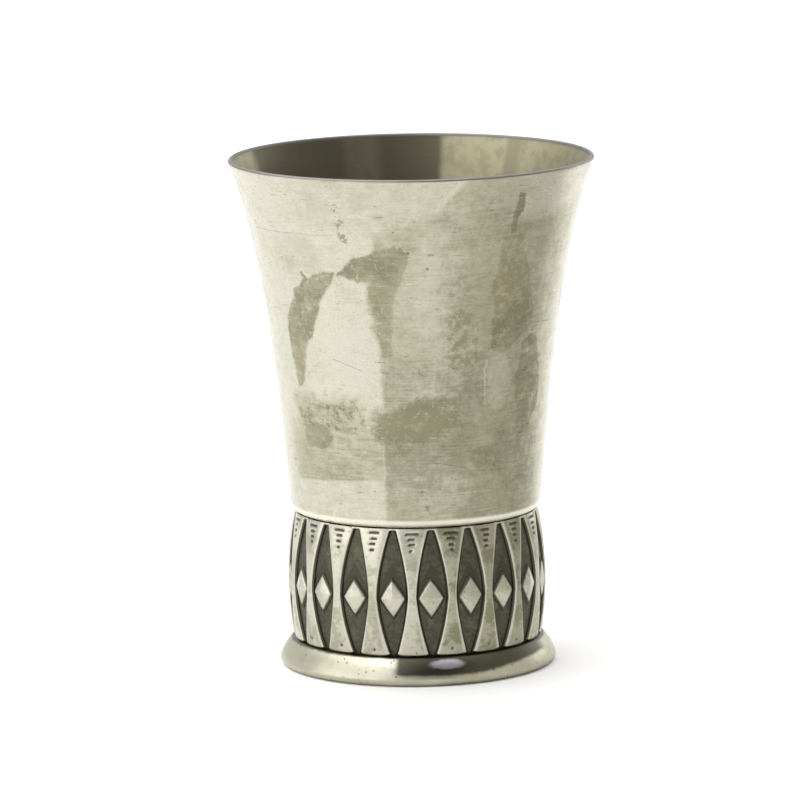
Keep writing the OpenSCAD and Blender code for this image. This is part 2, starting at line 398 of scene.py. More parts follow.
def front_dullness_and_painted_reflection(f, fine, wander):
    """How dull the front of the bowl is, apart from its patches; the dark zone right of about -13
    degrees, deepest between 16 and 46 degrees, is a painted reflection of shade on the floor and room to
    the right
    """
    angle, z = f.angle + wander, f.z + wander
    ragged = f.angle + wander * 5.0
    # painted reflection: below this tide line and right of about -13 degrees the silver is darkened to
    # stand in for shade on the floor that it mirrors
    tide = f.smooth(ragged, 5.0, 22.0, 0.0, 6.0) + f.angle * 0.12 + 82.7
    right = f.smooth(angle, -14.5, -12.4) * f.smooth(z + wander, tide + 1.0, tide - 1.0)
    right = right * f.smooth(f.angle, 80.0, 62.0)
    rubbed_lip = f.smooth(ragged, 30.0, 46.0) * f.smooth(z, 80.5, 84.0)
    right = right * (1.0 - rubbed_lip * 0.8)
    # painted reflection: darker still between 16 and 46 degrees and lower in the middle, where the room
    # to the right is darker
    deeper_painted_reflection = f.smooth(f.angle, 8.0, 24.0) * f.smooth(f.angle, 64.0, 50.0)
    middle = f.smooth(z + wander, 61.0, 54.0) * f.smooth(z, 36.0, 42.0) * f.smooth(angle, 32.0, 18.0)
    deeper_painted_reflection = deeper_painted_reflection * f.smooth(f.z, 86.0, 79.0) * f.smooth(f.z, 30.0, 46.0, 0.25, 1.0)
    dull = right * (0.48 + deeper_painted_reflection * 0.15 + middle * 0.14)
    tan_top = f.smooth(f.z + wander * 0.3 - f.angle * 0.027, 36.3, 36.9)
    tan = tan_top * f.smooth(z, 47.5, 43.0) * f.smooth(ragged, -72.0, -58.0)
    dull = dull.over(tan * f.smooth(angle, -12.5, -14.5) * 0.42)
    spotted = f.smooth(z, 52.5, 48.5) * f.smooth(z, 42.5, 45.5)
    spotted = spotted * f.smooth(ragged, -64.0, -53.0) * f.smooth(ragged, -16.0, -27.0)
    dull = dull.over(spotted * (0.55 + f.smooth(fine, 0.50, 0.64) * 0.4))
    haze = f.smooth(f.z + wander * 2.0, 80.0, 77.5) * f.smooth(f.z, 70.0, 74.0)
    haze = haze * f.smooth(ragged, -64.0, -50.0) * f.smooth(ragged, -26.0, -38.0)
    veil = f.smooth(f.z + wander * 2.0, 78.5, 82.0) * f.smooth(ragged, -52.0, -30.0)
    veil = veil * f.smooth(ragged, 22.0, 10.0)
    foot_film = f.smooth(f.z + wander * 3.0, 52.0, 38.0) * f.smooth(abs(f.angle), 80.0, 62.0)
    return dull.over(haze * 0.24).over(veil * 0.2) + foot_film * 0.15


def front_patches(f, flat, fine, blotch):
    """The patches of deep tarnish on the front of the bowl"""
    blotched = (blotch - 0.5) * 0.6
    mottled = (fine - 0.5) * 0.7
    patches = (
        (CRESCENT, 0.4, blotched + 0.78),
        (CRESCENT_HOOK, 0.15, 0.9),
        (HOOD, 0.4, blotched + 0.84),
        (HOOD_TAIL, 0.8, 0.8),
        (FLASK_FLARE, 0.7, 0.45),
        (FLASK_NECK, 0.3, 0.92),
        (FLASK_SHOULDER, 0.4, mottled + 0.85),
        (FLASK, 0.4, mottled + 0.85),
        (CLOUD, 0.9, f.smooth(fine, 0.36, 0.58, 0.5, 0.9)),
        (CROSS_BAND, 1.2, f.smooth(fine, 0.35, 0.62, 0.35, 0.75)),
        (HEART, 2.4, f.smooth(fine, 0.34, 0.60, 0.88, 1.1)),
        (SHEET, 0.4, mottled + 0.84),
        (LOW_STAIN, 1.2, (fine - 0.5) * 0.8 + 0.72),
        (LEFT_STAIN, 0.4, 0.85),
    )
    deep = 0.0
    for outline, blur, strength in patches:
        deep = (f.patch(flat, outline, blur) * strength).over(deep)
    spots = f.smooth(fine, 0.50, 0.58)
    ring = f.smooth(abs(f.band(flat, SPECK_RING)), 0.4, 0.1)
    spotted = ring.over(f.patch(flat, SPECK_TRAIL, 0.5)).over(f.patch(flat, DRIP, 0.6))
    flecks = f.specks(1.5, 0.66)
    return (deep * (1.0 - flecks * 0.45)).over(spotted * spots * 0.9)


def tarnished_silver(look):
    """Outside of the bowl: rubbed silver with old patches of tarnish, a painted reflection darkening the
    front's right side, a painted highlight on the lower corner and painted shade at the seat
    """
    f = Finish("tarnished_silver")
    flat = f.unrolled(2.2, 1.3)
    soft = f.noise(f.place, 0.10, 3.0)
    blotch = f.noise(f.place, 0.30, 5.0, 0.7)
    fine = f.noise(f.place, 0.75, 4.0, 0.7)
    grain = f.noise(f.place, 3.0, 2.0)
    mottle = f.noise(f.place, 1.7, 4.0, 0.75)
    wiped = f.vector("MULTIPLY", f.place, (0.22, 0.22, 0.6))
    clouds = f.noise(wiped, 1.0, 5.0, 0.65, 0.8)
    lines = f.turned_lines()
    wander = (f.noise(f.place, 0.35, 3.0, 0.6) - 0.5) * 3.0

    # the sides and the back carry the same kinds of patch as the front
    behind = f.smooth(abs(f.angle), 74.0, 92.0)
    shifted = f.vector("ADD", f.place, (3.0, 11.0, 5.0))
    islands = f.noise(shifted, 0.075, 4.0, 0.55, 0.6)
    back = f.smooth(islands + (fine - 0.5) * 0.06, 0.49, 0.52) * 0.38
    back = back.over(f.smooth(islands + (fine - 0.5) * 0.05, 0.57, 0.59) * (0.8 + (blotch - 0.5) * 0.5))
    amount = front_dullness_and_painted_reflection(f, fine, wander).over(front_patches(f, flat, fine, blotch))
    amount = amount.over(behind * back)
    amount = amount - f.patch(flat, PANEL, 0.5) * 0.2 - f.patch(flat, CLEARING, 1.0) * 0.18
    amount = amount - f.patch(flat, PANEL_EDGE, 0.1) * 0.4 - f.patch(flat, ARCH, 1.5) * 0.12
    amount = amount + (soft - 0.5) * 0.3 + (blotch - 0.5) * 0.65 + (fine - 0.5) * 0.5
    amount = (amount + (lines - 0.5) * 0.45 + (mottle - 0.5) * 0.55 + (clouds - 0.5) * 0.7 + 0.03).held()

    streak = f.vector("MULTIPLY", f.place, (0.35, 0.35, 3.2))
    nicks = f.smooth(f.noise(streak, 1.0, 2.0, 0.6), 0.66, 0.72)
    scuffs = f.smooth(f.noise(f.vector("ADD", streak, (7.0, 3.0, 9.0)), 1.3, 2.0), 0.70, 0.76)
    pits = f.specks(0.8, 0.79).over(f.specks(2.0, 0.785))
    straight = f.unrolled(0.4, 0.15)
    scratches = 0.0
    for scratch in SCRATCHES:
        scratches = f.patch(straight, scratch, 0.09).over(scratches)
    # painted shade: a dark band where the bowl sits on the frieze, under its overhanging corner
    painted_seat_shade = f.smooth(f.z, SEAT / MM + 0.25, SEAT / MM + 0.02)
    # painted reflection: a bright band on the lower corner, where the silver mirrors the pale floor
    corner = f.smooth(f.z, 29.3, 28.7) * f.smooth(f.z, 27.4, 27.7)
    lip = f.smooth(f.z, TOP / MM - 0.5, TOP / MM - 0.25)

    warm = f.smooth(f.noise(f.place, 0.07, 2.0), 0.42, 0.62)
    warm = (warm * 0.6).over(f.smooth(amount, 0.75, 0.45) * 0.7)
    tarnish = f.mixed(warm, look.tarnish, look.tan)
    base = f.mixed(amount, look.polished, tarnish)
    base = f.mixed((nicks * 0.38).over(pits * 0.55).over(scratches * 0.6), base, look.dirt_and_shade)
    base = f.mixed(scuffs * 0.35, base, look.bright)
    base = f.mixed(corner * 0.85, base, look.bright)
    base = f.mixed(painted_seat_shade * 0.8, base, look.dirt_and_shade)
    base = f.mixed(lip * 0.9, base, look.lip)
    rough = amount * (look.tarnish_roughness - look.polished_roughness) + look.polished_roughness
    rough = rough + (grain - 0.5) * 0.12 + (blotch - 0.5) * 0.12 + pits * 0.2 + lip * 0.15
    height = lines * 0.008 + fine * 0.014 + grain * 0.004 - amount * 0.006
    height = height - pits * 0.02 - nicks * 0.008
    return f.close(base, rough, 1.0, height)


def inside_stain_and_painted_reflection(look):
    """Inside of the bowl: brown stains with sharp-edged painted dark reflections, darker towards the
    bottom, with a soft tide line
    """
    f = Finish("inside_stain_and_painted_reflection")
    soft = f.noise(f.place, 0.12, 3.0)
    fine = f.noise(f.place, 0.5, 4.0, 0.65)
    lines = f.turned_lines()
    wander = (soft - 0.5) * 5.0 + (fine - 0.5) * 2.0
    facing = f.math("ARCTAN2", f.x, f.y) * math.degrees(1.0)
    # stain and painted reflection: sharp-edged dark zones stand in for dark surroundings mirrored by the
    # inside wall
    stain_and_painted_reflection = f.smooth(facing + wander * 0.25, 12.2, 9.0)
    stain_and_painted_reflection = stain_and_painted_reflection * f.smooth(facing + wander * 0.5, -67.0, -62.0)
    stain_and_painted_reflection = stain_and_painted_reflection.over(f.smooth(facing + wander, 118.0, 124.0))
    stain_and_painted_reflection = stain_and_painted_reflection.over(f.smooth(facing + wander, -104.0, -110.0))
    olive = f.smooth(facing + wander * 0.3, -26.0, -20.0) * f.smooth(facing, -8.0, -14.0)
    wall = f.smooth(f.z + wander, 34.0, 46.0)
    stain_and_painted_reflection = stain_and_painted_reflection * wall + (1.0 - wall) * 0.7
    olive = olive * wall
    depth = f.smooth(f.z, 70.0, 30.0)
    mottle = f.smooth(fine, 0.42, 0.62)
    strip = f.smooth(facing + wander * 0.4, 33.0, 35.0) * f.smooth(facing, 41.0, 39.0) * wall
    light = f.mixed((mottle * 0.22).over(strip * 0.35), look.inside, look.stain_and_painted_reflection)
    amount = (stain_and_painted_reflection * (0.97 - olive * 0.22)).over(depth * 0.5)
    amount = (amount + (lines - 0.5) * 0.10 + (soft - 0.5) * 0.08).held()
    lip = f.smooth(f.z, TOP / MM - 0.6, TOP / MM - 0.3)
    base = f.mixed(amount, light, look.stain_and_painted_reflection)
    base = f.mixed(lip * 0.9, base, look.lip)
    rough = 0.54 - amount * 0.06 + (fine - 0.5) * 0.1
    height = lines * 0.008 + fine * 0.010
    return f.close(base, rough, 1.0, height)


def frieze_line(sizes):
    """Radius and height of the centre of the frieze's side, which is one arc"""
    half = Vector((-sizes.spread, SEAT - FOOT_TOP)) / 2
    middle = Vector((sizes.waist + sizes.spread / 2, (SEAT + FOOT_TOP) / 2))
    chord = half.length
    bend = (chord * chord + sizes.belly * sizes.belly) / (2 * sizes.belly)
    inward = Vector((-half.y, half.x)) / chord
    return bend, middle + inward * (bend - sizes.belly)


def frieze_radius(sizes, z, out=0.0):
    """Radius of the frieze's face at a height, let out by out"""
    bend, centre = frieze_line(sizes)
    return centre.x + math.sqrt((bend + out) ** 2 - (z - centre.y) ** 2)


def lozenge_width(sizes, count):
    """Width of a lozenge at its widest place"""
    return math.tau * frieze_radius(sizes, FOOT_TOP + sizes.middle) / count - sizes.strut


def relief_depth(f, sizes):
    """0 on the frieze's ground, 1 on the struts' faces"""
    bend, centre = (value / MM for value in frieze_line(sizes))
    ground = bend - sizes.relief / MM
    level = f.z - centre.y
    side = f.math("SQRT", ground * ground - level * level) + centre.x
    return (f.radius - side) / (sizes.relief / MM)


def across_strut(f, sizes):
    """0 on the middle line of the nearest strut, 1 at the edge of its face"""
    count = len(STUD_NODES)
    pitch = math.tau / count
    turns = (f.angle - math.degrees(sizes.turn)) / math.degrees(pitch)
    side = abs(f.math("FRACT", turns + count) - 0.5) * f.radius * pitch
    middle = (FOOT_TOP + sizes.middle) / MM
    up = (f.z - middle) / ((SEAT - sizes.rail) / MM - middle)
    down = (middle - f.z) / (sizes.middle / MM)
    end = sizes.bottom_gap / MM
    full = 1.0 - up.over(down).under(1.0) ** sizes.lower_fullness
    opening = full * ((lozenge_width(sizes, count) / MM - end) / 2) + end / 2
    return side / (f.radius * (pitch / 2) - opening)


def rubbed_relief(f, look, depth, bright_from, worn_and_painted_highlight, cut, painted_right_shade):
    """Raised silver: bright where hands rub it and with a painted edge highlight, dark where it is low
    or cut, with painted shade in the crevice at its foot and on its right side
    """
    soft = f.noise(f.place, 0.22, 3.0)
    fine = f.noise(f.place, 1.3, 4.0, 0.65)
    grain = f.noise(f.place, 5.0, 2.0)
    edge = depth + (fine - 0.5) * 0.25
    dark = f.smooth(edge, bright_from, bright_from - 0.22)
    # painted shade: a dark crevice along the foot of the relief where it meets the foot ring
    painted_crevice_shade = f.smooth(f.z + (fine - 0.5) * 0.5, FOOT_TOP / MM + 0.42, FOOT_TOP / MM + 0.12)
    pits = f.specks(1.4, 0.74)
    film = f.smooth(soft + (fine - 0.5) * 0.4, 0.44, 0.62)
    lines = f.turned_lines()
    # painted shade: the relief's faces turn greyer towards the right, where the silver mirrors a darker
    # room
    right = f.smooth(f.angle + (soft - 0.5) * 20.0, -5.0, 22.0) * f.smooth(f.angle, 75.0, 60.0)
    grey = (right * painted_right_shade + film * 0.4) * (1.0 - worn_and_painted_highlight * 0.55)
    grey = grey + (lines - 0.5) * 0.35 + (fine - 0.5) * 0.45 + 0.10
    face = f.mixed(grey.held(), look.polished, look.tarnish)
    # wear and painted highlight: brighter where worn and where the edges catch the light
    face = f.mixed(worn_and_painted_highlight * 0.28, face, look.bright)
    base = f.mixed(dark.over(cut), face, look.oxide)
    base = f.mixed(painted_crevice_shade.over(pits * 0.7) * 0.9, base, look.dirt_and_shade)
    rough = 0.30 + film * 0.08 + dark * 0.16 + (grain - 0.5) * 0.12
    height = fine * 0.016 + grain * 0.004 + lines * 0.006 - pits * 0.03
    return f.close(base, rough, 1.0, height)


def rubbed_struts(look, sizes):
    """Struts: edges painted bright, as wear and as an edge highlight, greyer on the right as painted
    shade, and dark in the chased dashes and the punch marks
    """
    f = Finish("rubbed_struts")
    depth = relief_depth(f, sizes)
    across = across_strut(f, sizes)
    bevel = ((across - sizes.bevel_from) / (1 - sizes.bevel_from)).over(0.0)
    flush = 1.0 - across * across * 0.03 - bevel ** 1.5 * 0.17
    cut = f.smooth(flush - depth, 0.08, 0.26) * f.smooth(across, 1.0, 0.85)
    cut = cut * f.smooth(f.z, FOOT_TOP / MM + 0.5, FOOT_TOP / MM + 0.9)
    # wear and painted highlight: the bevelled edges are painted bright
    worn_and_painted_highlight = f.smooth(across, sizes.bevel_from, 0.95) * f.smooth(across, 1.35, 1.1)
    return rubbed_relief(f, look, depth, 0.76, worn_and_painted_highlight, cut * 0.95, 0.6)


def rubbed_studs(look, sizes):
    """Studs: evenly bright facets over dark flanks, with painted shade on the right"""
    f = Finish("rubbed_studs")
    return rubbed_relief(f, look, relief_depth(f, sizes), 0.56, 0.45, 0.0, 0.3)


def oxidised_ground(look, sizes):
    """Outside of the drum: matt, and darkest over each stud, as painted shade"""
    f = Finish("oxidised_ground")
    fine = f.noise(f.place, 1.6, 4.0, 0.6)
    soft = f.noise(f.place, 0.35, 2.0)
    base = f.mixed(f.smooth(fine, 0.35, 0.70), look.oxide, look.dirt_and_shade)
    base = f.mixed(f.smooth(soft, 0.55, 0.75) * 0.25, base, look.tarnish)
    pitch = 360.0 / len(STUD_NODES)
    turns = (f.angle - math.degrees(sizes.turn)) / pitch + 0.5
    side = (f.math("FRACT", turns + 100.0) - 0.5) * pitch * ROLL * 0.88
    stud_z = (FOOT_TOP + sizes.middle - sizes.stud_drop) / MM
    # painted shade: a V of darker ground above each stud's upper edges
    reach = abs(side) / 2.5 + abs(f.z - stud_z) / 4.4 + (fine - 0.5) * 0.15
    painted_shade_over_stud = f.smooth(reach, 1.42, 1.34) * f.smooth(f.z, stud_z - 0.4, stud_z + 0.2)
    base = f.mixed(painted_shade_over_stud * 0.95, base, look.dirt_and_shade)
    rough = look.oxide_roughness + (fine - 0.5) * 0.2
    height = fine * 0.03
    return f.close(base, rough, 0.85, height)


def foot_with_painted_reflections(look, name):
    """Foot ring and base plate: satin silver with dark pits, a painted dark reflection band on the
    front's right, a painted lilac highlight and painted shade at the seat
    """
    f = Finish(name)
    soft = f.noise(f.place, 0.11, 3.0)
    fine = f.noise(f.place, 0.8, 4.0, 0.65)
    grain = f.noise(f.place, 4.0, 2.0)
    lines = f.turned_lines()
    wander = (fine - 0.5) * 0.8 + (soft - 0.5) * 0.8
    # painted shade: a dark band on the foot just under the frieze, where the two meet
    seat = f.smooth(f.z + wander * 0.5, FOOT_TOP / MM - 0.45, FOOT_TOP / MM - 0.05)
    # painted reflection: a dark band across the right of the foot's skirt, standing in for the dark room
    # it mirrors
    reach = f.smooth(f.angle, 70.0, 20.0, 2.9, 1.6)
    shade = f.smooth(f.z + wander * 0.4, reach, reach + 0.7)
    shade = shade * f.smooth(f.angle + wander * 4.0, -12.0, -8.0)
    shade = shade * f.smooth(f.angle, 78.0, 66.0)
    pits = f.specks(1.1, 0.70).over(f.specks(2.6, 0.76))
    amount = (0.38 + (soft - 0.5) * 1.0 + (fine - 0.5) * 0.6 + (lines - 0.5) * 0.3).held()
    base = f.mixed(amount, look.polished, look.tan)
    base = f.mixed(shade * 0.96, base, look.dirt_and_shade)
    # painted highlight: a soft lilac spot on the foot's front, a reflection painted into the colour
    off_side = (f.angle + wander * 3.0 - 13.0) / 8.0
    off_level = (f.z + wander * 0.4 - 3.75) / 0.85
    worn_and_painted_highlight = f.smooth(off_side * off_side + off_level * off_level, 1.3, 0.3)
    base = f.mixed(worn_and_painted_highlight * 0.8, base, look.worn_and_painted_highlight)
    base = f.mixed((pits * 0.55).over(seat * 0.9), base, look.dirt_and_shade)
    rough = 0.28 + amount * 0.12 + (grain - 0.5) * 0.1 + pits * 0.2
    height = fine * 0.012 + lines * 0.006 - pits * 0.03
    return f.close(base, rough, 1.0, height)


def pale_floor(look):
    """Plain pale sheet under the cup"""
    f = Finish("pale_floor")
    fibre = f.noise(f.place, 0.4, 2.0)
    base = f.mixed(fibre * 0.02, look.floor, (0.8, 0.8, 0.78))
    return f.close(base, 0.6, 0.0, fibre * 0.01)


# ---------------------------------------------------------------- meshes

def piece(name, points, faces, materials, body="root"):
    """A mesh object with outward faces, riding on a body"""
    mesh = bpy.data.meshes.new(name)
    mesh.from_pydata(points, [], faces)
    shape = bmesh.new()
    shape.from_mesh(mesh)
    bmesh.ops.recalc_face_normals(shape, faces=shape.faces)
    shape.to_mesh(mesh)
    shape.free()
    made = bpy.data.objects.new(name, mesh)
    bpy.context.scene.collection.objects.link(made)
    for material in materials:
        mesh.materials.append(material)
    mesh.shade_smooth()
    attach(made, body)
    return made


def lathe(outline, steps, waver=None):
    """Points and faces of an outline turned round the axis; it may start and end on the axis"""
    points, faces, rings = [], [], []
    for radius, z in outline:
        if radius == 0.0:
            rings.append([len(points)])
            points.append((0.0, 0.0, z))
            continue
        rings.append(range(len(points), len(points) + steps))
        for step in range(steps):
            angle = math.tau * step / steps
            grown = radius + (waver(angle, z) if waver else 0.0)
            points.append((grown * math.cos(angle), grown * math.sin(angle), z))
    pairs = list(zip(rings, rings[1:]))
    if len(rings[0]) > 1:
        pairs.append((rings[-1], rings[0]))
    for low, high in pairs:
        for step in range(steps):
            ahead = (step + 1) % steps
            if len(low) == 1:
                faces.append((low[0], high[ahead], high[step]))
            elif len(high) == 1:
                faces.append((low[step], low[ahead], high[0]))
            else:
                faces.append((low[step], low[ahead], high[ahead], high[step]))
    return points, faces


def arc(centre, radius, start, end, steps):
    """Points along an arc, from start to end in degrees"""
    turns = [math.radians(start + (end - start) * step / steps) for step in range(steps + 1)]
    return [(centre[0] + radius * math.cos(turn), centre[1] + radius * math.sin(turn))
            for turn in turns]


def climb(start, end, steps):
    """Evenly spaced values from start to end"""
    return [start + (end - start) * step / steps for step in range(steps + 1)]


def bowl_radius(sizes, waist, z):
    """Outside radius of the bowl's flare at a height"""
    base = waist + sizes.overhang
    flare_z = SEAT + sizes.corner
    lip_z = TOP - sizes.wall / 2
    t = (z - flare_z) / (lip_z - flare_z)
    flare = RIM_R - base - sizes.taper - sizes.lip_turn
    turn = max(0.0, 1 - (lip_z - z) / sizes.lip_height)
    return base + sizes.taper * t + flare * t ** 3 + sizes.lip_turn * turn ** 2


def hand_waver(amount, low, high, seed):
    """Slow wander of a hand-worked wall: none at low, full at high"""
    drift = Vector((seed * 7.3, seed * 3.1, seed * 5.7))
    cells = 75.0

    def waver(angle, z):
        fade = min(1.0, max(0.0, (z - low) / (high - low)))
        around = Vector((math.cos(angle) * 0.025, math.sin(angle) * 0.025, z * 0.8))
        return amount * fade * noise.noise(around * cells + drift)
    return waver


# ---------------------------------------------------------------- operators

class CHALICE_OT_stage(bpy.types.Operator):
    """Lay the floor, set the lights and aim the camera"""
    bl_idname = "chalice.stage"
    bl_label = "Stage"

    def execute(self, context):
        look = context.scene.chalice.stage
        self.floor(look)
        self.surround(context.scene, look)
        self.light("overhead_light", (-0.10, 0.30, 1.25), (0.0, -0.05, 0.0), 2.0, look.overhead)
        self.light("left_light", (-0.62, -0.34, 0.48), (0.0, 0.0, 0.03), 1.1, look.side)
        self.light("right_light", (0.45, 0.42, 0.30), (0.0, 0.0, 0.02), 0.4, look.rim)
        self.flag(look)
        self.camera(context.scene)
        return {"FINISHED"}

    def floor(self, look):
        half = 4.0
        mesh = bpy.data.meshes.new("floor")
        mesh.from_pydata([(-half, -half, 0.0), (half, -half, 0.0), (half, half, 0.0),
                          (-half, half, 0.0)], [], [(0, 1, 2, 3)])
        made = bpy.data.objects.new("floor", mesh)
        bpy.context.scene.collection.objects.link(made)
        mesh.materials.append(pale_floor(look))

    def flag(self, look):
        """A grey card on the right, seen only as a reflection in the silver"""
        x, near, far, high = 0.078, -0.10, 0.02, 0.09
        mesh = bpy.data.meshes.new("flag")
        mesh.from_pydata([(x, near, 0.0), (x, far, 0.0), (x, far, high), (x, near, high)],
                         [], [(0, 1, 2, 3)])
        made = bpy.data.objects.new("flag", mesh)
        bpy.context.scene.collection.objects.link(made)
        card = Finish("grey_card")
        grain = card.noise(card.place, 0.5)
        shade = card.mixed(grain * 0.05, look.flag, (0.2, 0.2, 0.2))
        mesh.materials.append(card.close(shade, 0.8, 0.0, grain * 0.01))
        for ray in ("camera", "diffuse", "shadow", "transmission", "volume_scatter"):
            setattr(made, "visible_" + ray, False)

    def surround(self, scene, look):
        """A pale band round the horizon under a darker room, lighter on the left"""
        world = bpy.data.worlds.new("studio")
        world.use_nodes = True
        tree = NodeTree(world.node_tree)
        way = tree.node("ShaderNodeTexCoord", out="Generated")
        side, up = (tree.node("ShaderNodeSeparateXYZ", {}, {0: way}, out) for out in (0, 2))
        shade = tree.smooth(up, 0.30, 0.55)
        light = tree.mixed(shade, (1.0, 1.0, 1.0), (0.97, 0.94, 1.0))
        room = tree.smooth(side, 0.10, -0.30, look.ceiling, look.window)
        power = tree.smooth(up, 0.30, 0.55, look.horizon, room)
        glow = tree.node("ShaderNodeBackground", {}, {"Color": light, "Strength": power})
        tree.node("ShaderNodeOutputWorld", {}, {"Surface": glow})
        scene.world = world
        scene.view_settings.view_transform = "Standard"

    def light(self, name, place, aim, size, power):
        """A square soft light that the camera doesn't see"""
        data = bpy.data.lights.new(name, "AREA")
        data.shape = "SQUARE"
        data.size = size
        data.energy = power
        made = bpy.data.objects.new(name, data)
        made.location = place
        made.rotation_euler = (Vector(aim) - Vector(place)).to_track_quat("-Z", "Y").to_euler()
        made.visible_camera = False
        bpy.context.scene.collection.objects.link(made)

    def camera(self, scene):
        """A long lens, looking about 11 degrees down on the cup from the front"""
        down = math.radians(11.2739)
        roll = math.radians(0.837)
        tilt = math.radians(1.6118)
        pan = math.radians(0.1555)
        distance = 1.11605
        aim = Vector((0.0, 0.0, 0.014746))
        data = bpy.data.cameras.new("camera")
        data.lens = 283.2
        data.sensor_width = 36.0
        data.clip_start = 0.05
        data.clip_end = 20.0
        back = Vector((0.0, -math.cos(down), math.sin(down)))
        side = Vector((1.0, 0.0, 0.0))
        up = Vector((0.0, math.sin(down), math.cos(down)))
        right = side * math.cos(roll) - up * math.sin(roll)
        above = side * math.sin(roll) + up * math.cos(roll)
        turn = Matrix((right, above, back)).transposed()
        turn = turn @ Matrix.Rotation(tilt, 3, "X")
        turn = turn @ Matrix.Rotation(pan, 3, "Y")
        made = bpy.data.objects.new("camera", data)
        made.matrix_world = Matrix.Translation(aim + back * distance) @ turn.to_4x4()
        scene.collection.objects.link(made)
        scene.camera = made


class CHALICE_OT_bowl(bpy.types.Operator):
    """Spin the bowl: a flared wall with a rounded lip and a stepped floor"""
    bl_idname = "chalice.bowl"
    bl_label = "Bowl"

    def execute(self, context):
        cup = context.scene.chalice
        sizes, waist = cup.bowl, cup.frieze.waist
        step_r = cup.frieze.drum_bore - cup.frieze.film
        floor_z = SEAT + sizes.floor
        floor_r = step_r - sizes.floor
        flare_z = SEAT + sizes.corner
        lip_z = TOP - sizes.wall / 2
        base_r = waist + sizes.overhang
        fillet_z = floor_z + sizes.fillet
        fillet_r = bowl_radius(sizes, waist, fillet_z) - sizes.wall - sizes.fillet
        rows = 110
        outside = [(0.0, STEP_BOTTOM), (step_r * 0.5, STEP_BOTTOM), (step_r, STEP_BOTTOM),
                   (step_r, SEAT), (base_r - sizes.corner - 0.2 * MM, SEAT)]
        outside += arc((base_r - sizes.corner, flare_z), sizes.corner, -88, -6, 12)
        outside += [(bowl_radius(sizes, waist, z), z) for z in climb(flare_z, lip_z, rows)]
        lip_r = bowl_radius(sizes, waist, lip_z) - sizes.wall / 2
        outside += arc((lip_r, lip_z), sizes.wall / 2, 18, 90, 4)
        inside = arc((lip_r, lip_z), sizes.wall / 2, 108, 162, 3)
        inside += [(bowl_radius(sizes, waist, z) - sizes.wall, z)
                   for z in climb(lip_z, fillet_z, rows)]
        inside += arc((fillet_r, fillet_z), sizes.fillet, -10, -88, 8)
        bottom = STEP_BOTTOM + sizes.floor
        inside += [(floor_r, floor_z), (floor_r, bottom), (floor_r * 0.5, bottom), (0.0, bottom)]
        waver = hand_waver(sizes.waver, flare_z, flare_z + 12 * MM, 1)
        points, faces = lathe(outside + inside, STEPS_ROUND, waver)
        look = cup.silver
        made = piece("bowl_spun", points, faces, (tarnished_silver(look), inside_stain_and_painted_reflection(look)))
        first_inside = (len(outside) - 1) * STEPS_ROUND
        for face in made.data.polygons:
            face.material_index = 1 if face.index >= first_inside else 0
        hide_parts("bowl")
        return {"FINISHED"}


class CHALICE_OT_drum(bpy.types.Operator):
    """Turn the drum whose barrel side is the frieze's dark ground"""
    bl_idname = "chalice.drum"
    bl_label = "Drum"

    def execute(self, context):
        cup = context.scene.chalice
        out = -cup.frieze.relief - cup.frieze.film
        side = [(frieze_radius(cup.frieze, z, out), z) for z in climb(FOOT_TOP, SEAT, 60)]
        bore = [(cup.frieze.drum_bore, z) for z in climb(SEAT, FOOT_TOP, 4)]
        points, faces = lathe(side + bore, STEPS_ROUND)
        made = piece("drum_ground", points, faces, (oxidised_ground(cup.silver, cup.frieze),))
        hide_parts("drum")
        return {"FINISHED"}


